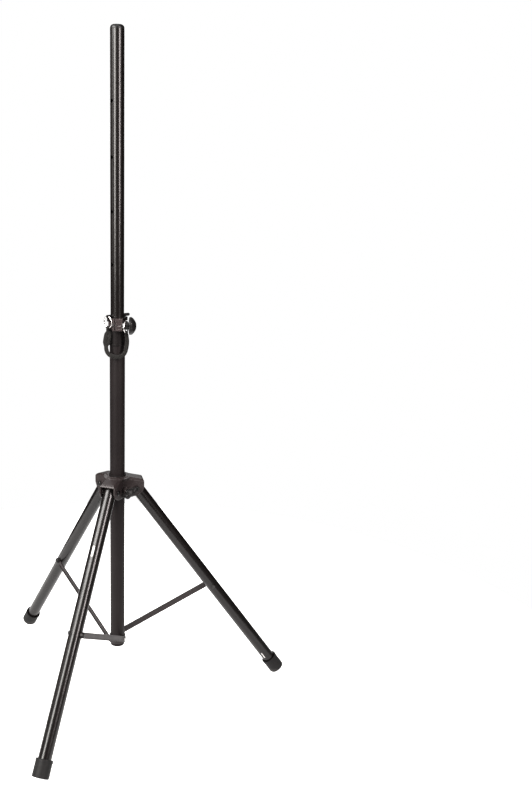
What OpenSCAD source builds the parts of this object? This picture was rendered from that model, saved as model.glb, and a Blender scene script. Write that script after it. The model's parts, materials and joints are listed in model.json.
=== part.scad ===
// Telescopic tripod stand for a loudspeaker.
// The column stands on the Z axis. The floor is the plane Z = 0.
// Each leg lies in a vertical plane through the axis: x is the distance from the axis there,
// y is the sideways offset, and s runs down the leg from its hinge.

/* [Mast] */
// Outside diameter of the mast, which fits a loudspeaker's pole socket
mast_d = 35; // [34:0.5:35]
// Wall thickness of the mast
mast_wall = 1.8; // [1.5:0.1:2.2]
// Height of the top of the mast tube above the floor
mast_top = 1774; // [1768:1:1780]
// Length of the mast tube
mast_len = 1068; // [1062:1:1070]
// Spacing of the height holes
hole_pitch = 131.4; // [125:0.1:132]
// Diameter of each height hole
hole_d = 9.4; // [8.6:0.1:9.4]
// Distance from the mast's top to the groove that marks the socket's depth
socket_depth = 110; // [90:1:130]

/* [Column] */
// Outside diameter of the lower column
column_d = 40; // [40:0.5:40.5]
// Wall thickness of the column
column_wall = 1.8; // [1.6:0.1:1.8]
// Height of the column tube's lower end
column_bottom = 136; // [134:1:137]
// Height of the column tube's upper end
column_top = 1077; // [1075:1:1078]

/* [Clamp and pin] */
// Direction in which the clamp's ears stand out, in degrees about Z
ear_az = -41; // [-43:1:-39]
// Distance of the clamp bolt from the axis
clamp_bolt_r = 31; // [30.5:0.1:31.5]
// Height of the clamp bolt
clamp_bolt_z = 1064; // [1062:1:1066]
// Diameter across the lobes of the clamp knob
clamp_knob_d = 46; // [42:1:46]
// Diameter of the locking pin
pin_d = 8; // [7.5:0.1:8]
// Height of the locking pin's axis
pin_z = 1085.5; // [1085.5:0.5:1086.5]
// Mean radius of the two split rings
ring_r = 14.5; // [14.2:0.1:14.6]
// Thickness of the split rings' wire
ring_wire = 2.8; // [2.4:0.1:2.8]

/* [Lanyard] */
// Width of the lanyard strap where it is single
strap_w = 11; // [9:0.5:11]
// Thickness of the lanyard strap
strap_t = 3.4; // [2.8:0.1:3.6]

/* [Hub] */
// Distance of the leg hinges from the axis
pivot_r = 50; // [50:0.1:51]
// Height of the leg hinges
pivot_z = 613; // [613:0.5:614]
// Outside width of one hub arm
arm_w = 46; // [46:0.5:48]
// Reach of a hub arm from the axis
arm_len = 71; // [70:0.5:73]
// Span of the hub knob's wings
wing_span = 44; // [38:1:46]

/* [Legs] */
// Angle of each leg from the vertical
leg_angle = 35.8; // [35.8:0.1:35.9]
// Outside diameter of the leg tubes
leg_d = 35; // [34:0.5:35]
// Wall thickness of the leg tubes
leg_wall = 1.5; // [1.2:0.1:2]
// Distance from the hinge to the end of the foot, along the leg
leg_len = 743; // [742.5:0.5:744]
// Length of the rubber foot
foot_len = 45; // [40:1:50]
// Outside diameter of the rubber foot
foot_d = 45; // [43:0.5:46]

/* [Braces] */
// Distance from the leg's hinge to the brace bolt, along the leg
brace_bolt_s = 386; // [385:0.5:387]
// Distance of the brace's lower hinge from the axis, along the leg's direction
brace_foot_r = 5; // [4:0.5:6]
// Height of the brace's lower hinge
brace_foot_z = 151.5; // [151:0.5:152]
// Width of the brace bar
bar_w = 16; // [14:0.5:16.5]
// Thickness of the brace bar's metal
bar_t = 1.6; // [1.4:0.1:2]

/* [Hidden] */
$fn = 64;
fit = 0.06;               // running clearance on a shaft or in a bush
gap = 0.3;                // free gap between pieces that move past each other
leg_az = [-60, 60, 180];  // front, right and left leg

mast_r = mast_d / 2;
mast_bottom = mast_top - mast_len;
column_r = column_d / 2;
column_bore = column_r - column_wall;
leg_r = leg_d / 2;
foot_r = foot_d / 2;
cap_h = 10;
holes_below = 2;
holes_above = 4;
groove_w = 1.4;
groove_deep = 0.25;

// Clamp, bush and pin
bush_flange_r = 23.5;
bush_top = column_top + 4;
lug_reach = 27.5;
lug_w = 16;
lug_low = column_top - 5.5;
bush_skirt_r = column_r + 1.8;
bush_skirt_z = column_top - 68;
band_r = bush_skirt_r + 1.6;
band_low = clamp_bolt_z - 12;
band_high = clamp_bolt_z + 12;
ear_left = -11;
ear_right = 15.5;
ear_reach = 36.5;
ear_split = -5;
ear_low = clamp_bolt_z - 13.5;
ear_high = column_top + 4.5;
ear_slot = 2.4;
bolt_r = 4;
head_deep = 4;
spacer_r = 9.8;
ring_on_bolt = 25;
ring_yaw = -20;
knob_boss_s = 31;
knob_s = 32.2;
knob_h = 18.8;
pin_tip = 38.5;
pin_head = 34.5;
pin_ring_y = -30.5;
pin_ring_yaw = 6;

// Hub
sleeve_r = 26;
sleeve_bore = 22.5;
hub_low = pivot_z - 25;
hub_high = pivot_z + 34;
cheek = 4;
roof = 5.5;
roof_slope = 9 / 42;
roof_start = 24;
web_r = 37;
channel_start = sleeve_r + 0.4;
hub_knob_z = pivot_z - 2;
hub_boss_end = 46;
wing_start = 54;
wing_h = 14;
wing_tilt = 23;
leg_top_s = -12;

// Braces
bar_in_y = column_r + 4.55 - bar_t / 2;
bar_out_y = leg_r + gap + bar_t / 2;
brace_end_r = pivot_r + brace_bolt_s * sin(leg_angle);
brace_end_z = pivot_z - brace_bolt_s * cos(leg_angle);
brace_run = brace_end_r - brace_foot_r;
brace_rise = brace_end_z - brace_foot_z;
brace_len = sqrt(brace_run * brace_run + brace_rise * brace_rise);
brace_angle = atan2(brace_rise, brace_run);
bar_flange = 3.6;
eye_in_r = 9.5;
eye_out_r = 8.5;
rivet_r = 3;
brace_nut_r = 7.8;
brace_nut_h = 6.4;
collar_low = 140;
collar_high = 160;
collar_r = column_r + 2.8;
pad_y = bar_in_y - bar_t / 2 - 0.1;

// Points along the middle of the lanyard strap, from the pin's ring to the clamp's ring
strap_path = [
    [0, -30.5, 1054], [1, -30.5, 1047], [1.5, -31.5, 1040], [2, -34, 1032], [2, -36, 1022],
    [2, -37.5, 1012], [3.5, -38.5, 1002], [6.5, -37.5, 993.5], [11.5, -33.5, 986.5],
    [17.5, -27.5, 983], [24, -20, 981.5], [29.5, -11.5, 983], [33.5, -5, 988], [35.5, -0.5, 996],
    [37, 1.5, 1006], [38.5, 2.5, 1017.5], [39.5, 2, 1027.5], [40, 0.5, 1036.5], [40, -1, 1044]
];
strap_turns = 54;

/* Helpers */

// A pipe standing on z = 0
module pipe(r, bore, h) {
    difference() {
        cylinder(r = r, h = h);
        translate([0, 0, -1]) cylinder(r = bore, h = h + 2);
    }
}

// A disc standing on z = 0 whose upper rim is rounded by e, at most half of h and half of r
module round_top(r, h, e) {
    cylinder(r = r, h = h - e);
    cylinder(r = r - e, h = h);
    translate([0, 0, h - e])
        rotate_extrude()
            translate([r - e, 0]) circle(r = e, $fn = 32);
}

// A wire ring in the XZ plane, centred on the origin
module wire_ring() {
    rotate([90, 0, 0])
        rotate_extrude()
            translate([ring_r, 0]) circle(d = ring_wire, $fn = 24);
}

// A rod along +Y from y0 to y1
module rod_y(r, y0, y1) {
    translate([0, y0, 0]) rotate([-90, 0, 0]) cylinder(r = r, h = y1 - y0);
}

// A hexagon along +Y from y0 to y1, with corner radius r
module hex_y(r, y0, y1) {
    translate([0, y0, 0]) rotate([-90, 0, 0]) cylinder(r = r, h = y1 - y0, $fn = 6);
}

// The frame of leg i: x outwards along the leg's plane, y sideways
module at_leg(i) {
    rotate([0, 0, leg_az[i]]) children();
}

// The frame along leg i: z runs down the leg from its hinge
module along_leg(i) {
    at_leg(i) translate([pivot_r, 0, pivot_z]) rotate([0, 180 - leg_angle, 0]) children();
}

// The frame along brace i: x runs up the brace from its lower hinge
module along_brace(i) {
    at_leg(i) translate([brace_foot_r, 0, brace_foot_z]) rotate([0, -brace_angle, 0]) children();
}

// The frame of the clamp bolt: y runs along the bolt towards the knob, x away from the axis
module at_clamp() {
    rotate([0, 0, ear_az]) translate([clamp_bolt_r, 0, clamp_bolt_z]) children();
}

/* Mast */

module mast_tube() {
    color("#2b2828")
    difference() {
        translate([0, 0, mast_bottom]) pipe(mast_r, mast_r - mast_wall, mast_len);
        for (k = [-holes_below : holes_above])
            translate([0, 0, pin_z + k * hole_pitch]) rod_y(hole_d / 2, -mast_d, mast_d);
        translate([0, 0, mast_top - socket_depth])
            pipe(mast_r + 1, mast_r - groove_deep, groove_w);
    }
}

module mast_cap() {
    color("#181818") {
        translate([0, 0, mast_top]) intersection() {
            translate([0, 0, cap_h - 20]) round_top(mast_r - 0.2, 20, 8);
            cylinder(r = mast_r + 1, h = cap_h + 1);
        }
        translate([0, 0, mast_top - 22]) pipe(mast_r - mast_wall - 0.05, mast_r - mast_wall - 2.2, 22);
    }
}

module mast_glide() {
    color("#202020")
    translate([0, 0, mast_bottom - 8]) {
        pipe(column_bore - fit, mast_r - mast_wall - 2, 8);
        pipe(mast_r - mast_wall - 0.05, mast_r - mast_wall - 2, 30);
    }
}

/* Column */

module column_tube() {
    color("#2e2b2c")
    difference() {
        translate([0, 0, column_bottom]) pipe(column_r, column_bore, column_top - column_bottom);
        translate([0, 0, (collar_low + collar_high) / 2])
            rotate([0, 0, 30]) rod_y(2.2, -column_d, 0);
    }
}

module column_plug() {
    color("#161616") {
        translate([0, 0, column_bottom]) mirror([0, 0, 1]) round_top(column_r, 6, 3);
        difference() {
            translate([0, 0, column_bottom]) pipe(column_bore - 0.05, column_bore - 2, 26);
            translate([0, 0, (collar_low + collar_high) / 2])
                rotate([0, 0, 30]) rod_y(2.2, -column_d, 0);
        }
    }
}

module upper_bushing() {
    color("#1a1a1a")
    difference() {
        union() {
            translate([0, 0, column_top + 0.5])
                round_top(bush_flange_r, bush_top - column_top - 0.5, 1.2);
            // a lug under each end of the pin
            for (side = [-1, 1]) scale([1, side, 1]) {
                translate([-lug_w / 2, 16, column_top + 0.5])
                    cube([lug_w, lug_reach - 16, bush_top - column_top - 0.5]);
                translate([-lug_w / 2, band_r + 0.4, lug_low])
                    cube([lug_w, lug_reach - band_r - 0.4, bush_top - lug_low]);
            }
            translate([0, 0, bush_skirt_z])
                cylinder(r = bush_skirt_r, h = column_top - bush_skirt_z + 1);
            translate([0, 0, bush_skirt_z]) cylinder(r = bush_skirt_r + 0.6, h = 3);
        }
        translate([0, 0, bush_skirt_z - 1]) difference() {
            cylinder(r = column_r + 0.05, h = column_top + 1.1 - bush_skirt_z);
            cylinder(r = column_bore - 0.05, h = column_top + 1.1 - bush_skirt_z);
        }
        translate([0, 0, bush_skirt_z - 1]) cylinder(r = mast_r + fit, h = 90);
    }
}

/* Clamp */

module clamp_collar() {
    color("#332f2f")
    difference() {
        union() {
            translate([0, 0, band_low]) cylinder(r = band_r, h = band_high - band_low);
            rotate([0, 0, ear_az]) translate([0, 0, ear_low]) linear_extrude(ear_high - ear_low)
                polygon([[10, ear_left], [ear_reach - 3.5, ear_left], [ear_reach, ear_split - 1.5],
                         [ear_reach, ear_right - 1], [ear_reach - 1, ear_right], [10, ear_right]]);
        }
        translate([0, 0, ear_low - 1]) cylinder(r = bush_skirt_r + 0.05, h = 40);
        translate([0, 0, band_high]) cylinder(r = bush_flange_r + 0.6, h = 20);
        rotate([0, 0, ear_az]) {
            // the slot that closes as the bolt is tightened, and the sunk panel beside it
            translate([column_r - 2, ear_split, ear_low - 1]) cube([30, ear_slot, 40]);
            translate([ear_reach - 1.4, ear_split + ear_slot + 2.6, ear_low + 4])
                cube([3, 12.4, ear_high - ear_low - 9.5]);
        }
        at_clamp() {
            rod_y(bolt_r + 0.05, -40, 40);
            rod_y(6.6, ear_left - 5, ear_left + head_deep);
        }
    }
}

module clamp_bolt() {
    color("#8d8d8d")
    at_clamp() {
        rod_y(bolt_r, ear_left + head_deep - 1, knob_s + 9);
        translate([0, ear_left + head_deep - 0.1, 0]) rotate([90, 0, 0]) round_top(6.2, 3, 1.5);
    }
}

module clamp_washer() {
    color("#a0a0a0")
    at_clamp() difference() {
        rod_y(8, ear_right + 0.1, ear_right + 1.6);
        rod_y(bolt_r + 0.1, 0, 20);
    }
}

module clamp_spacer() {
    color("#202020")
    at_clamp() difference() {
        union() {
            rod_y(spacer_r, ear_right + 1.7, knob_boss_s - 0.4);
            rod_y(spacer_r + 0.8, ear_right + 1.7, ear_right + 3);
        }
        rod_y(bolt_r + 0.1, 0, 40);
    }
}

module clamp_knob() {
    color("#141414")
    at_clamp() difference() {
        union() {
            rod_y(8.5, knob_boss_s, knob_s + 1);
            translate([0, knob_s, 0]) rotate([-90, 0, 0]) {
                round_top(clamp_knob_d / 2 - 1.6, knob_h - 0.6, 9);
                cylinder(r = clamp_knob_d / 2 - 13, h = knob_h);
                for (a = [0 : 60 : 300])
                    rotate([0, 0, a]) translate([clamp_knob_d / 2 - 8, 0, 0])
                        round_top(8, knob_h - 5, 6);
            }
        }
        rod_y(6.05, 20, knob_s + 10.2);
    }
}

module clamp_knob_insert() {
    color("#b08d4a")
    at_clamp() difference() {
        rod_y(6, knob_boss_s + 0.5, knob_s + 10);
        rod_y(bolt_r + fit, 20, knob_s + 12);
    }
}

/* Locking pin and lanyard */

module locking_pin() {
    color("#1d1d1d")
    difference() {
        translate([0, 0, pin_z]) {
            rod_y(pin_d / 2, -pin_head + 1.5, pin_tip - 2);
            rod_y(pin_d / 2 - 1.2, -pin_head, pin_tip);
        }
        translate([-10, pin_ring_y, pin_z]) rotate([0, 90, 0]) cylinder(r = 2.1, h = 20);
    }
}

module pin_ring() {
    color("#d8d8d8")
    translate([0, pin_ring_y, pin_z - ring_r]) rotate([0, 0, pin_ring_yaw]) wire_ring();
}

module tether_ring() {
    color("#d8d8d8")
    at_clamp()
        translate([0, ring_on_bolt, spacer_r - ring_r + ring_wire / 2 + 0.25])
            rotate([0, 0, ring_yaw]) wire_ring();
}

// Catmull-Rom point between path points i and i + 1
function between(p, i, f) =
    let (n = len(p) - 1, a = p[max(i - 1, 0)], b = p[i], c = p[min(i + 1, n)], d = p[min(i + 2, n)])
    0.5 * (2 * b + (c - a) * f + (2 * a - 5 * b + 4 * c - d) * f * f
           + (3 * b - a - 3 * c + d) * f * f * f);
function along(p, u) = let (i = min(floor(u), len(p) - 2)) between(p, i, u - i);
function unit(v) = v / norm(v);

// How much wider than strap_w the strap is at share f of its length, where it is folded back
function doubled(f) =
    8 * min(1, max(0, (f - 0.05) / 0.07)) * min(1, max(0, (0.30 - f) / 0.06));

// The strap: an oval section swept along the path, its flat face turned away from the column
module lanyard() {
    color("#262424")
    let (
        n = len(strap_path) - 1,
        sides = 10,
        mids = [for (k = [0 : strap_turns]) along(strap_path, k * n / strap_turns)],
        tangents = [for (k = [0 : strap_turns])
            unit(mids[min(k + 1, strap_turns)] - mids[max(k - 1, 0)])],
        outwards = unit([cos(-37), sin(-37), 0]),
        points = [for (k = [0 : strap_turns], j = [0 : sides - 1])
            let (
                side = unit(cross(tangents[k], outwards)),
                face = unit(cross(side, tangents[k])),
                a = (j + 0.5) * 360 / sides
            )
            mids[k] + side * cos(a) * (strap_w + doubled(k / strap_turns)) / 2
                + face * sin(a) * strap_t / 2],
        walls = [for (k = [0 : strap_turns - 1], j = [0 : sides - 1])
            let (a = k * sides + j, b = k * sides + (j + 1) % sides)
            [a, b, b + sides, a + sides]],
        last = strap_turns * sides
    )
    polyhedron(points, concat(walls,
        [[for (j = [sides - 1 : -1 : 0]) j]], [[for (j = [0 : sides - 1]) last + j]]));
}

/* Hub */

// Side view of one hub arm
module arm_side() {
    polygon([
        [0, hub_low], [0, hub_high], [roof_start, hub_high],
        [arm_len - 5, hub_high - (arm_len - 5 - roof_start) * roof_slope],
        [arm_len, hub_high - 15], [arm_len, pivot_z], [arm_len - 6, pivot_z - 12],
        [48, pivot_z - 21], [28, hub_low]
    ]);
    translate([arm_len - 6, hub_high - 15.5]) circle(r = 6, $fn = 48);
}

// The crowned cross-section of an arm, extruded along the slope of the roof
module arm_crown() {
    half = arm_w / 2;
    translate([roof_start, 0, hub_high])
        rotate([0, atan(roof_slope), 0])
            rotate([90, 0, 90])
                translate([0, 0, -60]) linear_extrude(140)
                    polygon([[-half, -90], [-half, -5], [-half + 6, 0],
                             [half - 6, 0], [half, -5], [half, -90]]);
}

// The space under the roof for the leg
module arm_channel() {
    inner = arm_w / 2 - cheek;
    drop = (arm_len + 10 - channel_start) * roof_slope;
    underside = hub_high - roof - (channel_start - roof_start) * roof_slope;
    translate([0, inner, 0]) rotate([90, 0, 0]) linear_extrude(2 * inner)
        polygon([[channel_start, hub_low - 10], [channel_start, underside],
                 [arm_len + 10, underside - drop], [arm_len + 10, hub_low - 10]]);
}

module hub_casting() {
    color("#3a3535")
    difference() {
        union() {
            translate([0, 0, hub_low]) cylinder(r = sleeve_r, h = hub_high - hub_low);
            for (i = [0 : 2]) at_leg(i) intersection() {
                translate([0, arm_w / 2, 0]) rotate([90, 0, 0]) linear_extrude(arm_w) arm_side();
                arm_crown();
            }
            // the web between the arms' roofs, and the boss for the knob
            translate([0, 0, hub_high - 7]) cylinder(r1 = web_r - 3, r2 = web_r, h = 5);
            translate([0, 0, hub_knob_z]) rotate([0, 90, 0]) cylinder(r = 10.5, h = hub_boss_end);
        }
        translate([0, 0, hub_low - 1]) cylinder(r = sleeve_bore + 0.05, h = hub_high - hub_low + 2);
        for (i = [0 : 2]) at_leg(i) {
            arm_channel();
            translate([pivot_r, 0, pivot_z]) rod_y(bolt_r + 0.05, -30, 30);
        }
        translate([0, 0, hub_knob_z]) rotate([0, 90, 0]) cylinder(r = bolt_r + 0.1, h = 60);
        // hexagonal pocket for the nut in the boss's end
        translate([hub_boss_end - 7, 0, hub_knob_z])
            rotate([0, 90, 0]) cylinder(r = 7.6, h = 10, $fn = 6);
    }
}

module hub_bushing() {
    color("#121212")
    difference() {
        union() {
            translate([0, 0, hub_low - 2]) cylinder(r = sleeve_bore, h = hub_high - hub_low + 3);
            translate([0, 0, hub_high + 0.1]) round_top(sleeve_bore + 0.7, 3, 1);
        }
        translate([0, 0, hub_low - 3]) cylinder(r = column_r + fit, h = 90);
        translate([0, 0, hub_knob_z]) rotate([0, 90, 0]) cylinder(r = 6.1, h = 60);
    }
}

module leg_pivot_bolts() {
    color("#7c7c7c")
    for (i = [0 : 2]) at_leg(i) translate([pivot_r, 0, pivot_z]) {
        rod_y(bolt_r, -arm_w / 2 - 3, arm_w / 2 + 1);
        translate([0, arm_w / 2 + 0.1, 0]) rotate([-90, 0, 0]) round_top(7, 4, 2);
    }
}

module leg_pivot_nuts() {
    color("#6f6f6f")
    for (i = [0 : 2]) at_leg(i) translate([pivot_r, 0, pivot_z]) difference() {
        hex_y(7.5, -arm_w / 2 - 6, -arm_w / 2 - 0.1);
        rod_y(bolt_r + 0.05, -40, 0);
    }
}

module leg_washers() {
    color("#d9d5cc")
    for (i = [0 : 2], side = [-1, 1])
        at_leg(i) translate([pivot_r, 0, pivot_z]) scale([1, side, 1]) difference() {
            rod_y(8, leg_r + 0.1, arm_w / 2 - cheek - 0.1);
            rod_y(bolt_r + 0.05, 0, 30);
        }
}

module hub_knob_nut() {
    color("#9a9a9a")
    translate([hub_boss_end - 6.9, 0, hub_knob_z]) rotate([0, 90, 0]) difference() {
        cylinder(r = 7.5, h = 6.4, $fn = 6);
        translate([0, 0, -1]) cylinder(r = bolt_r + fit, h = 10);
    }
}

module hub_pad() {
    color("#d9d5cc")
    intersection() {
        translate([0, 0, hub_knob_z]) rotate([0, 90, 0]) cylinder(r = 6, h = 24);
        translate([0, 0, hub_knob_z - 10]) pipe(sleeve_bore - 0.2, column_r + 0.1, 20);
    }
}

module hub_knob() {
    color("#141414")
    translate([0, 0, hub_knob_z]) rotate([wing_tilt, 0, 0]) rotate([0, 90, 0]) difference() {
        union() {
            translate([0, 0, wing_start - 4]) cylinder(r = 8, h = 6);
            translate([0, 0, wing_start]) round_top(10, wing_h + 2, 3);
            for (side = [-1, 1])
                translate([0, side * (wing_span / 2 - 7), wing_start + 1])
                    round_top(7, wing_h, 3);
            translate([-5, -wing_span / 2 + 7, wing_start + 1]) cube([10, wing_span - 14, wing_h - 2]);
        }
        translate([0, 0, 40]) cylinder(r = bolt_r + 0.05, h = wing_start - 40 + 12.1);
    }
}

module hub_knob_stud() {
    color("#8d8d8d")
    translate([sleeve_bore + 0.3, 0, hub_knob_z]) rotate([0, 90, 0])
        cylinder(r = bolt_r, h = wing_start + 12 - sleeve_bore - 0.3);
}

/* Legs */

module leg_tube(i) {
    color("#2b2828")
    along_leg(i) difference() {
        translate([0, 0, leg_top_s]) pipe(leg_r, leg_r - leg_wall, leg_len - 8 - leg_top_s);
        rod_y(bolt_r + fit, -30, 30);
        translate([0, 0, brace_bolt_s]) rod_y(rivet_r + fit, -30, 30);
    }
}

module leg_plug(i) {
    color("#181818")
    along_leg(i) difference() {
        union() {
            translate([0, 0, leg_top_s - 0.1]) mirror([0, 0, 1]) round_top(leg_r - 0.3, 2.4, 1);
            translate([0, 0, leg_top_s - 0.5]) cylinder(r = leg_r - leg_wall - 0.05, h = 40);
        }
        rod_y(bolt_r + fit, -30, 30);
        translate([0, 0, 12]) cylinder(r = 11, h = 30);
    }
}

module foot(i) {
    color("#121212")
    intersection() {
        along_leg(i) difference() {
            union() {
                translate([0, 0, leg_len - foot_len]) round_top(foot_r - 0.7, foot_len, 2);
                translate([0, 0, leg_len - foot_len]) cylinder(r = foot_r, h = 7);
            }
            translate([0, 0, leg_len - foot_len - 1]) cylinder(r = leg_r + 0.03, h = foot_len - 6.9);
            translate([0, 0, leg_len - foot_len - 0.1])
                cylinder(r1 = leg_r + 2.2, r2 = leg_r + 0.03, h = 4);
        }
        translate([-700, -700, 0]) cube([1400, 1400, 200]);
    }
}

module brace_bolt(i) {
    color("#777777")
    along_leg(i) translate([0, 0, brace_bolt_s]) {
        rod_y(rivet_r, -leg_r - 1, leg_r - 0.1);
        translate([0, -leg_r - 0.1, 0]) rotate([90, 0, 0]) round_top(5.2, 2.6, 1.3);
    }
}

/* Braces */

// The pressed channel between the two eyes
module bar_channel() {
    skew = atan2(bar_out_y - bar_in_y, brace_len);
    start = 14;
    run = brace_len - start - 12;
    translate([0, bar_in_y, 0]) rotate([0, 0, skew])
        translate([start, 0, 0]) rotate([90, 0, 90]) linear_extrude(run) difference() {
            translate([-bar_t / 2, -bar_w / 2]) square([bar_flange, bar_w]);
            translate([bar_t / 2, -bar_w / 2 + bar_t]) square([bar_flange, bar_w - 2 * bar_t]);
        }
}

module brace_bar(i) {
    color("#565050")
    along_brace(i) difference() {
        union() {
            translate([0, bar_in_y, 0]) rod_y(eye_in_r, -bar_t / 2, bar_t / 2);
            translate([0, bar_in_y - bar_t / 2, -bar_w / 2]) cube([20, bar_t, bar_w]);
            translate([brace_len, bar_out_y, 0]) rod_y(eye_out_r, -bar_t / 2, bar_t / 2);
            translate([brace_len - 18, bar_out_y - bar_t / 2, -bar_w / 2]) cube([18, bar_t, bar_w]);
            bar_channel();
        }
        rod_y(rivet_r + fit, 0, 40);
        translate([brace_len, 0, 0]) rod_y(rivet_r + 0.03, 0, 40);
    }
}

module brace_nut(i) {
    color("#1a1a1a")
    along_brace(i) translate([brace_len, bar_out_y, 0]) {
        rod_y(rivet_r, -bar_t / 2, bar_t / 2 + 1);
        translate([0, bar_t / 2 + 0.05, 0]) rotate([-90, 0, 0]) {
            round_top(brace_nut_r, 3.2, 1);
            round_top(brace_nut_r - 1.8, brace_nut_h, 2.4);
        }
    }
}

module brace_collar() {
    color("#5b5555")
    difference() {
        union() {
            translate([0, 0, collar_low]) cylinder(r = collar_r, h = collar_high - collar_low);
            for (i = [0 : 2])
                at_leg(i) translate([brace_foot_r, 0, brace_foot_z]) rod_y(8.6, 12, pad_y);
        }
        translate([0, 0, collar_low - 10]) cylinder(r = column_r + 0.05, h = 60);
        for (i = [0 : 2])
            at_leg(i) translate([brace_foot_r, 0, brace_foot_z]) rod_y(rivet_r + 0.03, 10, 40);
        translate([0, 0, (collar_low + collar_high) / 2])
            rotate([0, 0, 30]) rod_y(2.2, -30, 0);
    }
}

module collar_rivets() {
    color("#8a8a8a")
    for (i = [0 : 2]) at_leg(i) translate([brace_foot_r, 0, brace_foot_z]) {
        rod_y(rivet_r, column_r + 0.6, bar_in_y + bar_t / 2 + 1);
        translate([0, bar_in_y + bar_t / 2 + 0.1, 0]) rotate([-90, 0, 0]) round_top(5.4, 2.4, 1.2);
    }
}

module collar_screw() {
    color("#777777")
    translate([0, 0, (collar_low + collar_high) / 2]) rotate([0, 0, 30]) {
        rod_y(2.1, -collar_r - 0.4, -column_bore + 1.5);
        rod_y(4, -collar_r - 2.2, -collar_r - 0.1);
    }
}

mast_tube();
mast_cap();
mast_glide();
column_tube();
column_plug();
upper_bushing();
clamp_collar();
clamp_bolt();
clamp_washer();
clamp_spacer();
tether_ring();
lanyard();
clamp_knob();
clamp_knob_insert();
locking_pin();
pin_ring();
hub_casting();
hub_bushing();
leg_pivot_bolts();
leg_pivot_nuts();
leg_washers();
hub_knob_nut();
hub_pad();
hub_knob();
hub_knob_stud();
leg_tube(0);  // leg_tube_front
leg_tube(1);  // leg_tube_right
leg_tube(2);  // leg_tube_left
leg_plug(0);  // leg_plug_front
leg_plug(1);  // leg_plug_right
leg_plug(2);  // leg_plug_left
foot(0);  // foot_front
foot(1);  // foot_right
foot(2);  // foot_left
brace_bolt(0);  // brace_bolt_front
brace_bolt(1);  // brace_bolt_right
brace_bolt(2);  // brace_bolt_left
brace_bar(0);  // brace_bar_front
brace_bar(1);  // brace_bar_right
brace_bar(2);  // brace_bar_left
brace_nut(0);  // brace_nut_front
brace_nut(1);  // brace_nut_right
brace_nut(2);  // brace_nut_left
brace_collar();
collar_rivets();
collar_screw();
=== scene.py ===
import json
import math

import bpy
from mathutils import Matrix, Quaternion, Vector


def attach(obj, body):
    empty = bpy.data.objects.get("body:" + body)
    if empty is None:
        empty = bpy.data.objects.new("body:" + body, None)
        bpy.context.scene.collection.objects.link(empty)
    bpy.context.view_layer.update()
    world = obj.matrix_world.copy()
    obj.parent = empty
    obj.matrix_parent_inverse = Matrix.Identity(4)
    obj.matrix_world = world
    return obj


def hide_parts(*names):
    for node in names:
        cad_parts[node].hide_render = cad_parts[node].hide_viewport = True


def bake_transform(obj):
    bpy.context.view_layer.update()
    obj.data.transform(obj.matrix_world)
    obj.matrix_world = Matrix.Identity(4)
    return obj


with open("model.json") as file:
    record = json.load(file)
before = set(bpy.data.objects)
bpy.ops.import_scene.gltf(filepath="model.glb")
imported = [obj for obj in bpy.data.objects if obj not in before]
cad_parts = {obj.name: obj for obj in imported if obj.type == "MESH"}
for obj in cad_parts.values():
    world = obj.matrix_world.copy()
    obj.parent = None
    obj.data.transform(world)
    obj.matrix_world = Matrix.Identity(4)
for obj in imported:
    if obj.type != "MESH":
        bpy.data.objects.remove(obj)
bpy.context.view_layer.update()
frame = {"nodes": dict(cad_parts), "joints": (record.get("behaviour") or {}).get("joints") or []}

scene = bpy.context.scene
MM = 0.001
TAU = 2 * math.pi
UP = Vector((0, 0, 1))


def compass(degrees):
    """The level direction at an azimuth."""
    a = math.radians(degrees)
    return Vector((math.cos(a), math.sin(a), 0))


def clamped(value):
    """A value held between 0 and 1."""
    return min(1, max(0, value))


# ---------------------------------------------------------------- camera

# in degrees
YAW, PITCH, ROLL = 138.722, -16.708, 1.251


def look(yaw, pitch, roll):
    """A camera's rotation that looks along yaw and pitch, in degrees, rolled about its view."""
    y, p = math.radians(yaw), math.radians(pitch)
    ahead = Vector((math.cos(p) * math.cos(y), math.cos(p) * math.sin(y), math.sin(p)))
    return Quaternion(ahead, -math.radians(roll)) @ ahead.to_track_quat("-Z", "Y")


camera = bpy.data.objects.new("camera", bpy.data.cameras.new("camera"))
scene.collection.objects.link(camera)
camera.location = (1.9359, -1.4519, 1.4749)
camera.rotation_mode = "QUATERNION"
camera.rotation_quaternion = look(YAW, PITCH, ROLL)
camera.data.sensor_width = 36
camera.data.lens = 41.833
camera.data.shift_x, camera.data.shift_y = 0.1, 0.05
camera.data.clip_start, camera.data.clip_end = 0.05, 50
scene.camera = camera

# ---------------------------------------------------------------- materials

# where a Mix node has its colour sockets
MIX_A, MIX_B, MIX_RESULT = 6, 7, 2

# pale colour painted on sharp edges: partly bare primer where the coat is rubbed through, partly a painted
# edge highlight
PRIMER_AND_EDGE_HIGHLIGHT = (0.30, 0.28, 0.27)
FLOOR_DUST = (0.16, 0.15, 0.14)
FRAYED_FIBRE = (0.07, 0.066, 0.060)
# mm between a braid's yarns, along the strap and across it
YARN_ALONG, YARN_ACROSS = 3.6, 3.1


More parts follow.
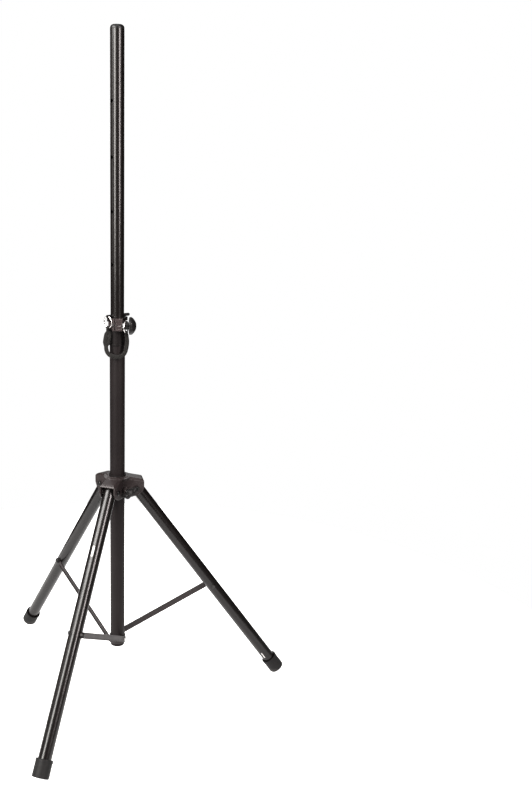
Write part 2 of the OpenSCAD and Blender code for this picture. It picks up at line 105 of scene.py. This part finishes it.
class Shader:
    """A material's node tree, with short calls for the nodes that these materials share."""

    def __init__(self, name, **sockets):
        self.material = bpy.data.materials.new(name)
        self.material.use_nodes = True
        self.nodes = self.material.node_tree.nodes
        self.links = self.material.node_tree.links
        self.bsdf = self.nodes["Principled BSDF"]
        for socket, value in sockets.items():
            self.bsdf.inputs[socket.replace("_", " ")].default_value = value
        self.place = self.nodes.new("ShaderNodeTexCoord").outputs["Object"]

    def put(self, socket, value):
        """Links a node's output to a socket, or sets the socket to a number or a colour."""
        if isinstance(value, bpy.types.NodeSocket):
            self.links.new(value, socket)
        elif isinstance(value, tuple):
            socket.default_value = (*value, 1)
        else:
            socket.default_value = value

    def noise(self, scale, detail=3.0, rough=0.55, stretch=None):
        """Noise of about scale features a metre, from 0 to 1."""
        node = self.nodes.new("ShaderNodeTexNoise")
        node.inputs["Scale"].default_value = scale
        node.inputs["Detail"].default_value = detail
        node.inputs["Roughness"].default_value = rough
        source = self.place
        if stretch:
            mapping = self.nodes.new("ShaderNodeMapping")
            mapping.inputs["Scale"].default_value = stretch
            self.links.new(source, mapping.inputs["Vector"])
            source = mapping.outputs["Vector"]
        self.links.new(source, node.inputs["Vector"])
        return node.outputs["Fac"]

    def remap(self, value, low, high, to_low=0.0, to_high=1.0):
        node = self.nodes.new("ShaderNodeMapRange")
        node.inputs["From Min"].default_value = low
        node.inputs["From Max"].default_value = high
        node.inputs["To Min"].default_value = to_low
        node.inputs["To Max"].default_value = to_high
        self.links.new(value, node.inputs["Value"])
        return node.outputs["Result"]

    def maths(self, operation, a, b=0.0, clamp=False):
        node = self.nodes.new("ShaderNodeMath")
        node.operation = operation
        node.use_clamp = clamp
        self.put(node.inputs[0], a)
        self.put(node.inputs[1], b)
        return node.outputs[0]

    def mix(self, factor, a, b):
        """Colours a to b as factor goes from 0 to 1."""
        node = self.nodes.new("ShaderNodeMix")
        node.data_type = "RGBA"
        self.put(node.inputs["Factor"], factor)
        self.put(node.inputs[MIX_A], a)
        self.put(node.inputs[MIX_B], b)
        return node.outputs[MIX_RESULT]

    def split(self, vector):
        """The X, Y and Z of a vector."""
        node = self.nodes.new("ShaderNodeSeparateXYZ")
        self.links.new(vector, node.inputs[0])
        return node.outputs["X"], node.outputs["Y"], node.outputs["Z"]

    def attribute(self, name):
        """A vector that the mesh holds at each of its points."""
        node = self.nodes.new("ShaderNodeAttribute")
        node.attribute_name = name
        return node.outputs["Vector"]

    def edges(self, radius):
        """1 on sharp edges, where a coating wears and where edges are painted paler as a painted highlight,
        and 0 elsewhere, with the rounded normal.
        """
        bevel = self.nodes.new("ShaderNodeBevel")
        bevel.samples = 6
        bevel.inputs["Radius"].default_value = radius
        geometry = self.nodes.new("ShaderNodeNewGeometry")
        dot = self.nodes.new("ShaderNodeVectorMath")
        dot.operation = "DOT_PRODUCT"
        self.links.new(bevel.outputs["Normal"], dot.inputs[0])
        self.links.new(geometry.outputs["Normal"], dot.inputs[1])
        turned_by = self.maths("SUBTRACT", 1.0, dot.outputs["Value"])
        return self.remap(turned_by, 0.02, 0.25), bevel.outputs["Normal"]

    def bump(self, height, strength, distance, normal=None):
        node = self.nodes.new("ShaderNodeBump")
        node.inputs["Strength"].default_value = strength
        node.inputs["Distance"].default_value = distance
        self.links.new(height, node.inputs["Height"])
        if normal is not None:
            self.links.new(normal, node.inputs["Normal"])
        return node.outputs["Normal"]

    def finish(self, color, roughness, normal=None):
        self.put(self.bsdf.inputs["Base Color"], color)
        self.put(self.bsdf.inputs["Roughness"], roughness)
        if normal is not None:
            self.links.new(normal, self.bsdf.inputs["Normal"])
        return self.material


def paler(color, times, plus):
    return tuple(min(1, c * times + plus) for c in color)


def powder_coat(name, dark, light, rough, shine, peel=0.0, round_off=0.0, wear_and_highlight=0.0):
    """Baked-on paint with faint cloudiness, dust specks and smears.

    peel is the strength of its orange peel. An object with sharp edges has them rounded off by
    round_off metres and painted paler along them, as much as the last argument says: partly rubbed-through
    coating, partly a painted edge highlight.
    """
    s = Shader(name, Specular_IOR_Level=shine)
    tone = s.mix(s.remap(s.noise(9, 4, 0.6), 0.3, 0.7), dark, light)
    specks = s.remap(s.noise(300, 1, 0.4), 0.80, 0.84)
    tone = s.mix(s.maths("MULTIPLY", specks, 0.2), tone, paler(light, 2.2, 0.02))
    normal = None
    if round_off:
        edge, normal = s.edges(round_off)
        # painted highlight: sharp edges are made paler in spots, partly as rubbed coating and partly as a
        # painted edge highlight
        rubbed_and_highlit = s.maths("MULTIPLY", edge, s.remap(s.noise(160, 3), 0.3, 0.55))
        tone = s.mix(s.maths("MULTIPLY", rubbed_and_highlit, wear_and_highlight), tone, PRIMER_AND_EDGE_HIGHLIGHT)
    smear = s.remap(s.noise(28, 5, 0.65, (1, 1, 0.35)), 0.3, 0.7, rough - 0.02, rough + 0.03)
    roughness = s.maths("ADD", smear, s.maths("MULTIPLY", s.noise(900, 2), 0.01))
    if peel:
        normal = s.bump(s.noise(620, 2, 0.5), peel, 0.0002, normal)
    return s.finish(tone, roughness, normal)


def moulded(name, dark, light, rough, grain=0.25, painted_edge_highlight=0.3, shine=0.25):
    """Moulded plastic with a spark-eroded grain and slightly polished edges, which are also painted paler as
    a painted highlight.
    """
    s = Shader(name, Specular_IOR_Level=shine)
    tone = s.mix(s.remap(s.noise(35, 4), 0.3, 0.7), dark, light)
    rubbed_and_highlit, rounded = s.edges(0.0009)
    # painted highlight: the edges are made paler in colour; the lower roughness on them below is the real
    # polish
    tone = s.mix(s.maths("MULTIPLY", rubbed_and_highlit, painted_edge_highlight), tone, paler(light, 2.5, 0.03))
    roughness = s.maths("SUBTRACT", s.remap(s.noise(240, 3), 0.3, 0.7, rough - 0.05, rough + 0.08),
                        s.maths("MULTIPLY", rubbed_and_highlit, 0.12))
    height = s.maths("ADD", s.noise(1500, 2), s.maths("MULTIPLY", s.noise(420, 2), 0.6))
    return s.finish(tone, roughness, s.bump(height, grain, 0.0001, rounded))


def rubber(name, dark, light):
    """Worn rubber: matt, dusty low down and scuffed."""
    s = Shader(name, Specular_IOR_Level=0.22)
    low_down = s.remap(s.split(s.place)[2], 0.018, 0.0)
    dust = s.maths("MULTIPLY", low_down, s.remap(s.noise(130, 5, 0.7), 0.35, 0.7), clamp=True)
    tone = s.mix(s.remap(s.noise(60, 4), 0.3, 0.7), dark, light)
    tone = s.mix(s.maths("MULTIPLY", dust, 0.5), tone, FLOOR_DUST)
    roughness = s.remap(s.noise(300, 3), 0.3, 0.7, 0.5, 0.68)
    height = s.maths("ADD", s.noise(700, 3), s.maths("MULTIPLY", s.noise(90, 3), 0.5))
    return s.finish(tone, roughness, s.bump(height, 0.3, 0.0002))


def metal(name, dark, light, rough, brushed, scratch=0.15):
    """Bare or plated metal with turning or drawing marks and a slight tarnish."""
    s = Shader(name, Metallic=1.0)
    tone = s.mix(s.remap(s.noise(110, 5, 0.65), 0.3, 0.7), dark, light)
    marks = s.noise(260, 4, 0.6, brushed)
    roughness = s.remap(marks, 0.3, 0.7, max(0.04, rough - 0.05), rough + 0.1)
    height = s.maths("ADD", marks, s.maths("MULTIPLY", s.noise(1900, 2), 0.35))
    return s.finish(tone, roughness, s.bump(height, scratch, 0.00006))


def woven(name, dark, light):
    """Braided cord: two families of yarns crossing at a slant, and frayed pale fibres."""
    s = Shader(name, Sheen_Weight=0.06, Sheen_Roughness=0.5, Specular_IOR_Level=0.2)
    along, across, _ = s.split(s.attribute("strap_place"))
    yarns = []
    for sign in (1, -1):
        slant = s.maths("ADD", s.maths("MULTIPLY", along, TAU / YARN_ALONG),
                        s.maths("MULTIPLY", across, sign * TAU / YARN_ACROSS))
        yarns.append(s.maths("SINE", slant))
    weave = s.maths("MAXIMUM", yarns[0], yarns[1])
    fuzz = s.noise(1100, 4, 0.7)
    tone = s.mix(s.remap(weave, -0.3, 1.0), dark, light)
    frayed = s.remap(s.noise(230, 4, 0.7), 0.55, 0.75)
    tone = s.mix(s.maths("MULTIPLY", frayed, 0.35), tone, FRAYED_FIBRE)
    roughness = s.remap(fuzz, 0.3, 0.7, 0.72, 0.95)
    height = s.maths("ADD", weave, s.maths("MULTIPLY", fuzz, 0.8))
    return s.finish(tone, roughness, s.bump(height, 0.55, 0.0004))


COAT_TUBE = powder_coat("coat_tube", (0.0046, 0.0037, 0.0035), (0.0068, 0.0056, 0.0053),
                        rough=0.25, shine=0.36)
COAT_COLUMN = powder_coat("coat_column", (0.0085, 0.0066, 0.0067), (0.0125, 0.0100, 0.0101),
                          rough=0.48, shine=0.14, peel=0.01)
COAT_CLAMP = powder_coat("coat_clamp", (0.024, 0.018, 0.018), (0.034, 0.026, 0.026),
                         rough=0.40, shine=0.30, round_off=0.0010, wear_and_highlight=0.5)
COAT_HUB = powder_coat("coat_hub", (0.015, 0.0113, 0.0113), (0.023, 0.018, 0.018),
                       rough=0.38, shine=0.32, round_off=0.0009, wear_and_highlight=0.35)
COAT_BRACE = powder_coat("coat_brace", (0.0135, 0.0105, 0.0105), (0.020, 0.0160, 0.0160),
                         rough=0.42, shine=0.3, peel=0.03)
PLASTIC = moulded("plastic_black", (0.0065, 0.0062, 0.0062), (0.0105, 0.0100, 0.0100), rough=0.36)
PLASTIC_MATT = moulded("plastic_matt", (0.0050, 0.0040, 0.0040), (0.0085, 0.0070, 0.0070),
                       rough=0.5, grain=0.2, painted_edge_highlight=0.25, shine=0.12)
PLASTIC_KNOB = moulded("plastic_knob", (0.0075, 0.0072, 0.0072), (0.012, 0.0115, 0.0115),
                       rough=0.36, grain=0.15)
NYLON = moulded("nylon_natural", (0.58, 0.56, 0.50), (0.70, 0.68, 0.62), rough=0.45, grain=0.15, painted_edge_highlight=0.1)
LABEL = moulded("label_blank", (0.42, 0.41, 0.40), (0.52, 0.51, 0.50), rough=0.5, grain=0.08, painted_edge_highlight=0.0)
RUBBER = rubber("rubber_foot", (0.0045, 0.0042, 0.0042), (0.0080, 0.0076, 0.0076))
STEEL = metal("zinc_steel", (0.30, 0.30, 0.30), (0.46, 0.46, 0.45), rough=0.30, brushed=(1, 1, 4))
CHROME = metal("chrome_ring", (0.82, 0.80, 0.78), (0.94, 0.92, 0.90),
               rough=0.26, brushed=(3, 3, 3), scratch=0.03)
DARK_STEEL = metal("black_oxide", (0.035, 0.034, 0.034), (0.070, 0.068, 0.068),
                   rough=0.34, brushed=(4, 1, 1), scratch=0.12)
BRASS = metal("brass_turned", (0.52, 0.36, 0.14), (0.66, 0.48, 0.22), rough=0.28, brushed=(1, 5, 1))
STRAP = woven("strap_braid", (0.0028, 0.0026, 0.0025), (0.0125, 0.0118, 0.0108))
THREAD = woven("whipping_thread", (0.0026, 0.0024, 0.0023), (0.010, 0.0095, 0.009))

FINISH = {
    "mast_tube": COAT_TUBE, "leg_tube": COAT_TUBE,
    "column_tube": COAT_COLUMN,
    "clamp_collar": COAT_CLAMP,
    "hub_casting": COAT_HUB,
    "brace_bar": COAT_BRACE, "brace_collar": COAT_BRACE,
    "mast_cap": PLASTIC, "mast_glide": PLASTIC, "leg_plug": PLASTIC, "brace_nut": PLASTIC,
    "clamp_spacer": PLASTIC,
    "column_plug": PLASTIC_MATT, "upper_bushing": PLASTIC_MATT, "hub_bushing": PLASTIC_MATT,
    "clamp_knob": PLASTIC_KNOB, "hub_knob": PLASTIC_KNOB,
    "foot": RUBBER,
    "leg_washers": NYLON, "hub_pad": NYLON,
    "clamp_washer": STEEL, "hub_knob_nut": STEEL, "hub_knob_stud": STEEL, "collar_rivets": STEEL,
    "clamp_bolt": DARK_STEEL, "leg_pivot_bolts": DARK_STEEL, "leg_pivot_nuts": DARK_STEEL,
    "collar_screw": DARK_STEEL, "brace_bolt": DARK_STEEL, "locking_pin": DARK_STEEL,
    "tether_ring": CHROME, "pin_ring": CHROME,
    "clamp_knob_insert": BRASS,
    "lanyard": STRAP,
}


def kind(node):
    """A node's name without the leg it belongs to."""
    for leg in ("_front", "_right", "_left"):
        node = node.removesuffix(leg)
    return node


for name, obj in frame["nodes"].items():
    obj.data.materials.clear()
    obj.data.materials.append(FINISH[kind(name)])

# ---------------------------------------------------------------- meshes


def piece(name, verts, faces, material, body=None):
    """A smooth mesh in the row frame, in metres, that rides on a CAD body if one is given."""
    mesh = bpy.data.meshes.new(name)
    mesh.from_pydata([tuple(v) for v in verts], [], faces)
    mesh.validate()
    mesh.materials.append(material)
    for face in mesh.polygons:
        face.use_smooth = True
    obj = bpy.data.objects.new(name, mesh)
    scene.collection.objects.link(obj)
    if body:
        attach(obj, body)
    return obj


def hoop_faces(rows, columns):
    """Quads between rows of columns points, each row joined up into a ring."""
    return [(r * columns + c, r * columns + (c + 1) % columns,
             (r + 1) * columns + (c + 1) % columns, (r + 1) * columns + c)
            for r in range(rows - 1) for c in range(columns)]


def end_faces(rows, columns):
    """The two faces that close a tube of rows of columns points."""
    return [tuple(reversed(range(columns))), tuple(range((rows - 1) * columns, rows * columns))]


def rounded_square(angle, x_power, y_power):
    """A point on a circle of radius 1 that is squared off more as the powers go from 1 to 0."""
    x, y = math.cos(angle), math.sin(angle)
    return math.copysign(abs(x) ** x_power, x), math.copysign(abs(y) ** y_power, y)


# ---------------------------------------------------------------- knobs

JOINT = {j["name"]: j for j in frame["joints"]}
KNOB_SIDES = 144


def frame_of(joint):
    """A joint's place, its axis, and two directions across it, the first one nearest to +Z."""
    axis = Vector(joint["axis"]).normalized()
    up = (UP - axis * axis.z).normalized()
    return Vector(joint["pos_m"]), axis, up, axis.cross(up)


def extent(node, joint):
    """The stretch of a CAD node along a joint's axis, and its reach from that axis."""
    origin, axis, _, _ = frame_of(joint)
    places = [v.co - origin for v in frame["nodes"][node].data.vertices]
    runs = [p.dot(axis) for p in places]
    reach = max((p - axis * p.dot(axis)).length for p in places)
    return min(runs), max(runs), reach


def turned(name, joint, node, outline, rows):
    """A grip round a joint's axis, in place of a knob's node.

    A row is (place along the axis, pull-in, share, bare radius): share 1 is the outline pulled in
    towards the axis, share 0 is a circle of the bare radius.
    """
    origin, axis, up, side = frame_of(joint)
    verts = []
    for run, inset, share, bare in rows:
        for k in range(KNOB_SIDES):
            a = TAU * k / KNOB_SIDES
            r = share * (outline(a) - inset) + (1 - share) * bare
            verts.append(origin + axis * run + (up * math.cos(a) + side * math.sin(a)) * r)
    faces = hoop_faces(len(rows), KNOB_SIDES)
    faces.append(tuple(range((len(rows) - 1) * KNOB_SIDES, len(rows) * KNOB_SIDES)))
    knob = piece(name, verts, faces, PLASTIC_KNOB, node)
    knob.data.polygons[-1].use_smooth = False
    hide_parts(node)


def round_rows(low, pairs):
    """Rows that are circles, from (mm above low, radius in mm) pairs."""
    return [(low + run * MM, 0, 0, radius * MM) for run, radius in pairs]


def full_rows(low, runs):
    """Rows that have the whole outline, at so many mm above low."""
    return [(low + run * MM, 0, 1, 0) for run in runs]


def rim_rows(run, radius, steps=6, rising=False):
    """Rows round a rim, from the side at run to the face a radius beyond it, or from the face if rising."""
    out = []
    for k in range(steps + 1):
        a = 0.5 * math.pi * k / steps
        along = -math.sin(a) if rising else math.sin(a)
        out.append((run + radius * along, radius * (1 - math.cos(a)), 1, 0))
    return out[::-1] if rising else out


LOBES, LOBE_DEPTH = 6, 1.7 * MM
DOME_STEPS = 11

clamp_low, clamp_high, clamp_reach = extent("clamp_knob", JOINT["clamp_knob_turn"])


def lobed_outline(a):
    return clamp_reach - LOBE_DEPTH * (0.5 - 0.5 * math.cos(LOBES * a)) ** 1.4


rows = round_rows(clamp_low, [(0, 6.1), (0, 7.8), (0.5, 8.5), (1.0, 8.6)])
rows.append((clamp_low + 1.3 * MM, 0, 0.1, 10 * MM))
rows += rim_rows(clamp_low + 4.4 * MM, 2.8 * MM, rising=True)
rows += full_rows(clamp_low, (5.5, 7))
# the grip's dome, flattening into a plain cap
for k in range(1, DOME_STEPS):
    a = 0.5 * math.pi * k / DOME_STEPS
    rows.append((clamp_low + (7.6 + 11.4 * math.sin(a)) * MM, clamp_reach * (1 - math.cos(a)) * 0.86,
                 1 - 0.06 * k, 10 * MM))
rows += round_rows(clamp_low, [(19.2, 8.9), (18.9, 8.6), (18.9, 8.0), (19.4, 7.5), (19.8, 5.6), (19.95, 3.2)])
rows.append((clamp_high, 0, 0, 1.4 * MM))
turned("clamp_knob_grip", JOINT["clamp_knob_turn"], "clamp_knob", lobed_outline, rows)

WING_TILT = math.radians(-67)
WING_END = 7 * MM
WING_WAIST = 9.2 * MM
WING_BLEND = 6

hub_low, hub_high, hub_reach = extent("hub_knob", JOINT["hub_knob_turn"])


def wing_outline(a):
    """Two round ends joined by a waist, as seen along the axis."""
    a = abs((a - WING_TILT + math.pi / 2) % math.pi - math.pi / 2)
    centre = hub_reach - WING_END
    across = centre * math.sin(a)
    end = 0
    if across < WING_END:
        end = centre * math.cos(a) + math.sqrt(WING_END ** 2 - across ** 2)
    joined = (end ** WING_BLEND + WING_WAIST ** WING_BLEND) ** (1 / WING_BLEND)
    return joined * (1 - 0.01 * math.sin(2 * a) ** 2)


rows = round_rows(hub_low, [(0, 4.3), (0, 7.2), (0.8, 8), (3.4, 8)])
rows += rim_rows(hub_low + 6.4 * MM, 2 * MM, steps=5, rising=True)
rows += full_rows(hub_low, (9, 11.5, 14))
rows += rim_rows(hub_low + 15 * MM, 3 * MM)
rows.append((hub_low + 18.6 * MM, 3.4 * MM, 0.6, 7 * MM))
rows += round_rows(hub_low, [(19.2, 6.6), (19.7, 4.6)])
rows.append((hub_high, 0, 0, 1.5 * MM))
turned("hub_knob_grip", JOINT["hub_knob_turn"], "hub_knob", wing_outline, rows)

# ---------------------------------------------------------------- lanyard

# the middle of the strap from the pin's ring to the clamp's ring, in mm
STRAP_PATH = [
    (0, -30.5, 1054), (1, -30.5, 1047), (1.5, -31.5, 1040), (2, -34, 1032), (2, -36, 1022),
    (2, -37.5, 1012), (3.5, -38.5, 1002), (6.5, -37.5, 993.5), (11.5, -33.5, 986.5),
    (17.5, -27.5, 983), (24, -20, 981.5), (29.5, -11.5, 983), (33.5, -5, 988), (35.5, -0.5, 996),
    (37, 1.5, 1006), (38.5, 2.5, 1017.5), (39.5, 2, 1027.5), (40, 0.5, 1036.5), (40, -1, 1044),
]
# the direction that the strap's flat side faces
STRAP_FACE = compass(-37)
STRAP_WIDTH, STRAP_THICK = 11 * MM, 3.4 * MM
STRAP_SIDES = 28
# how far the yarns stand out
YARN_RELIEF = 0.00022
POINTS = 420

# the strap's end that is folded back beside it, and the shares of the way between which it runs
TAIL_WIDTH, TAIL_THICK = 8.2 * MM, 3.1 * MM
TAIL_START, TAIL_END = 0.04, 0.285
FOLD_WIDENS = 8 * MM

LOOP_RADIUS, LOOP_THICK, LOOP_WIDTH = 3.1 * MM, 2.2 * MM, 8.4 * MM
LOOP_TURNS, LOOP_SIDES = 48, 20
CLAMP_RING = Vector((39.8, -1.47, 1046.45)) * MM
PIN_RING = Vector((0, -30.5, 1056.5)) * MM

WHIPPING_WIDTH, WHIPPING_THICK, WHIPPING_LENGTH = 9.4 * MM, 4.2 * MM, 5 * MM
WHIPPING_SIDES = 40
WINDS, STEPS_A_WIND = 5, 8
THREAD_SWELL = 0.28 * MM


def smooth_path(points, count):
    """count + 1 places evenly spread over a smooth curve through the points."""
    last = len(points) - 1
    out = []
    for k in range(count + 1):
        u = k * last / count
        i = min(int(u), last - 1)
        f = u - i
        a, b, c, d = (Vector(points[j]) for j in (max(i - 1, 0), i, i + 1, min(i + 2, last)))
        out.append(0.5 * (2 * b + (c - a) * f + (2 * a - 5 * b + 4 * c - d) * f * f
                          + (3 * b - a - 3 * c + d) * f ** 3))
    return out


def ahead_at(points, k):
    """The direction of a path at its point k."""
    return (points[min(k + 1, len(points) - 1)] - points[max(k - 1, 0)]).normalized()


def across(ahead):
    """The strap's sideways direction and the direction out of its face, where it runs ahead."""
    side = ahead.cross(STRAP_FACE).normalized()
    return side, side.cross(ahead).normalized()


def braided(obj, places):
    """Stores the mm along and across the braid at each point, for the weave."""
    data = obj.data.attributes.new("strap_place", "FLOAT_VECTOR", "POINT")
    data.data.foreach_set("vector", [c for p in places for c in p])


def strap(name, centres, width, thick, taper):
    """A flat braid swept along centres, with its yarns raised and its width times taper(share of the way)."""
    verts, places = [], []
    run = 0.0
    last = len(centres) - 1
    for k, middle in enumerate(centres):
        if k:
            run += (middle - centres[k - 1]).length
        side, out = across(ahead_at(centres, k))
        half = width * taper(k / last) / 2
        for j in range(STRAP_SIDES):
            a = TAU * (j + 0.5) / STRAP_SIDES
            x, y = rounded_square(a, 0.75, 0.8)
            around = a / TAU * 2 * (width + thick) / MM
            phase = run / MM * TAU / YARN_ALONG, around * TAU / YARN_ACROSS
            lift = YARN_RELIEF * (max(math.sin(phase[0] + phase[1]), math.sin(phase[0] - phase[1])) - 1)
            verts.append(middle + side * x * (half + lift) + out * y * (thick / 2 + lift))
            places.append((run / MM, around, 0))
    rows = len(centres)
    faces = hoop_faces(rows, STRAP_SIDES) + end_faces(rows, STRAP_SIDES)
    obj = piece(name, verts, faces, STRAP)
    braided(obj, places)
    return obj


def strap_taper(t):
    """The strap narrows where it is gathered below each ring."""
    near = min(t, 1 - t)
    return 0.78 + 0.22 * clamped((near - 0.03) / 0.12) ** 0.7


def tail_taper(t):
    return min(1, 0.8 + 2 * t)


def widened(t):
    """How much wider the folded part is than the strap alone, at a share of the way."""
    return FOLD_WIDENS * clamped((t - 0.05) / 0.07) * clamped((0.30 - t) / 0.06)


def beside(points, offset):
    """Places moved sideways across the strap's face by offset(share of the way)."""
    last = len(points) - 1
    return [point + across(ahead_at(points, k))[0] * offset(k / last) for k, point in enumerate(points)]


def with_pin(obj):
    """Bakes a piece of the lanyard's placement into its mesh; the piece rides on no body."""
    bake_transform(obj)


middles = [p * MM for p in smooth_path(STRAP_PATH, POINTS)]
centres = beside(middles, lambda t: widened(t) / 2)
lanyard = strap("lanyard_strap", centres, STRAP_WIDTH, STRAP_THICK, strap_taper)
with_pin(lanyard)
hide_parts("lanyard")

inner = beside(middles, lambda t: -(STRAP_WIDTH + widened(t) - TAIL_WIDTH) / 2)
tail = strap("lanyard_tail", inner[int(TAIL_START * POINTS):int(TAIL_END * POINTS)], TAIL_WIDTH, TAIL_THICK,
             tail_taper)
with_pin(tail)


def loop(name, middle, along, body):
    """A short woven band round a ring's wire: along is the wire's direction, which is level."""
    second = along.cross(UP)
    verts, places = [], []
    for k in range(LOOP_TURNS):
        a = TAU * k / LOOP_TURNS
        out = UP * math.cos(a) + second * math.sin(a)
        for j in range(LOOP_SIDES):
            x, y = rounded_square(TAU * j / LOOP_SIDES, 0.6, 0.8)
            x, y = x * LOOP_WIDTH / 2, y * LOOP_THICK / 2
            verts.append(middle + out * (LOOP_RADIUS + y) + along * x)
            places.append((LOOP_RADIUS * a / MM, x / MM * 2, 0))
    count = LOOP_TURNS * LOOP_SIDES
    faces = [tuple(v % count for v in face) for face in hoop_faces(LOOP_TURNS + 1, LOOP_SIDES)]
    obj = piece(name, verts, faces, STRAP, body)
    braided(obj, places)


def whipping(name, k):
    """Thread wound round the strap at point k of its middle."""
    ahead = (middles[k + 3] - middles[k - 3]).normalized()
    side, out = across(ahead)
    steps = WINDS * STEPS_A_WIND
    verts = []
    for step in range(steps + 1):
        run = (step / steps - 0.5) * WHIPPING_LENGTH
        swell = THREAD_SWELL * abs(math.sin(math.pi * step / STEPS_A_WIND)) ** 0.6
        for j in range(WHIPPING_SIDES):
            x, y = rounded_square(TAU * j / WHIPPING_SIDES, 0.75, 0.8)
            verts.append(middles[k] + ahead * run + side * x * (WHIPPING_WIDTH / 2 + swell)
                         + out * y * (WHIPPING_THICK / 2 + swell))
    faces = hoop_faces(steps + 1, WHIPPING_SIDES) + end_faces(steps + 1, WHIPPING_SIDES)
    obj = piece(name, verts, faces, THREAD)
    with_pin(obj)


loop("lanyard_loop_pin", PIN_RING, compass(6), "locking_pin")
loop("lanyard_loop_clamp", CLAMP_RING, compass(-61), "column")
whipping("lanyard_whipping_pin", 14)
whipping("lanyard_whipping_clamp", POINTS - 16)

# ---------------------------------------------------------------- labels

LEG_AZIMUTH = {"front": -60, "right": 60}
LEG_TILT = math.radians(35.8)
LEG_RADIUS = 17.5 * MM
# the label's underside and its face, above the tube
LABEL_LAYERS = (0.02 * MM, 0.18 * MM)
LABEL_ROWS, LABEL_COLUMNS = 24, 16
CORNER_TRIM = 0.06


def leg_frame(leg):
    """A leg's hinge, its direction down the tube, the outward direction across it, and the sideways one."""
    radial, side = compass(LEG_AZIMUTH[leg]), compass(LEG_AZIMUTH[leg] + 90)
    hinge = Vector(JOINT[f"leg_{leg}_fold"]["pos_m"])
    down = radial * math.sin(LEG_TILT) - UP * math.cos(LEG_TILT)
    return hinge, down, radial * math.cos(LEG_TILT) + UP * math.sin(LEG_TILT), side


def label(name, leg, start, end, turn_from, turn_to):
    """A thin blank sticker on a leg tube between two distances from the hinge and two angles in degrees."""
    hinge, down, out, side = leg_frame(leg)
    verts = []
    for layer in LABEL_LAYERS:
        for r in range(LABEL_ROWS + 1):
            for c in range(LABEL_COLUMNS + 1):
                x, y = 2 * r / LABEL_ROWS - 1, 2 * c / LABEL_COLUMNS - 1
                kept = 1 - CORNER_TRIM * abs(x) ** 8 * abs(y) ** 8
                s = start + (end - start) * (0.5 + 0.5 * x * kept)
                a = math.radians(turn_from + (turn_to - turn_from) * (0.5 + 0.5 * y * kept))
                around = out * math.cos(a) + side * math.sin(a)
                verts.append(hinge + down * s + around * (LEG_RADIUS + layer))
    wide = LABEL_COLUMNS + 1
    layer_size = (LABEL_ROWS + 1) * wide
    faces = []
    for r in range(LABEL_ROWS):
        for c in range(LABEL_COLUMNS):
            a = r * wide + c
            quad = (a, a + 1, a + wide + 1, a + wide)
            faces.append(tuple(reversed(quad)))
            faces.append(tuple(v + layer_size for v in quad))
    rim = ([r * wide for r in range(LABEL_ROWS)]
           + [LABEL_ROWS * wide + c for c in range(LABEL_COLUMNS)]
           + [r * wide + LABEL_COLUMNS for r in range(LABEL_ROWS, 0, -1)]
           + list(range(LABEL_COLUMNS, 0, -1)))
    for a, b in zip(rim, rim[1:] + rim[:1]):
        faces.append((a, b, b + layer_size, a + layer_size))
    piece(name, verts, faces, LABEL, f"leg_{leg}")


label("label_front", "front", 154 * MM, 184 * MM, -12, 9)
label("label_right", "right", 664 * MM, 684 * MM, -128, -117)

# ---------------------------------------------------------------- stage and light

FLOOR_RADIUS, FLOOR_SIDES = 1.5, 96
# how bright the surroundings are to the camera, and how bright they are as a light
SEEN_LEVEL, LIT_LEVEL = 1.0, 0.015
AIM_HEIGHT = 0.9

floor = bpy.data.objects.new("floor", bpy.data.meshes.new("floor"))
ring = [compass(360 * k / FLOOR_SIDES) * FLOOR_RADIUS for k in range(FLOOR_SIDES)]
floor.data.from_pydata(ring, [], [tuple(range(FLOOR_SIDES))])
scene.collection.objects.link(floor)
pale = Shader("pale_floor", Roughness=0.9, Base_Color=(0.5, 0.5, 0.5, 1),
              Emission_Color=(1, 1, 1, 1), Emission_Strength=0.95)
floor.data.materials.append(pale.material)

world = bpy.data.worlds.new("studio")
scene.world = world
world.use_nodes = True
tree = world.node_tree
sky = tree.nodes["Background"]
sky.inputs["Color"].default_value = (1, 1, 1, 1)
path = tree.nodes.new("ShaderNodeLightPath")
level = tree.nodes.new("ShaderNodeMapRange")
level.inputs["To Min"].default_value = LIT_LEVEL
level.inputs["To Max"].default_value = SEEN_LEVEL
tree.links.new(path.outputs["Is Camera Ray"], level.inputs["Value"])
tree.links.new(level.outputs["Result"], sky.inputs["Strength"])


def softbox(name, azimuth, distance, height, size, power, tint=(1, 1, 1)):
    """An area light of size (width, height) at an azimuth about the stand, aimed at its axis."""
    light = bpy.data.lights.new(name, "AREA")
    light.shape = "RECTANGLE"
    light.size, light.size_y = size
    light.energy = power
    light.color = tint
    obj = bpy.data.objects.new(name, light)
    scene.collection.objects.link(obj)
    obj.location = compass(azimuth) * distance + UP * height
    obj.rotation_mode = "QUATERNION"
    obj.rotation_quaternion = (UP * AIM_HEIGHT - obj.location).to_track_quat("-Z", "Y")


softbox("key_left", -77, 2.6, 1.95, (1.0, 2.1), power=162, tint=(1, 0.975, 0.945))
softbox("high_left", -106, 2.4, 3.0, (1.4, 1.9), power=190, tint=(1, 0.985, 0.97))
softbox("side_left", -124, 2.8, 1.9, (1.0, 2.0), power=16, tint=(1, 0.98, 0.95))
softbox("key_right", 4, 2.6, 2.05, (0.6, 2.0), power=145, tint=(1, 0.93, 0.92))
softbox("top", -40, 0.6, 3.6, (1.8, 1.8), power=38)
softbox("back_fill", 145, 3.2, 2.3, (2.4, 1.6), power=30)
scene.view_settings.view_transform = "Standard"
scene.view_settings.gamma = 0.86
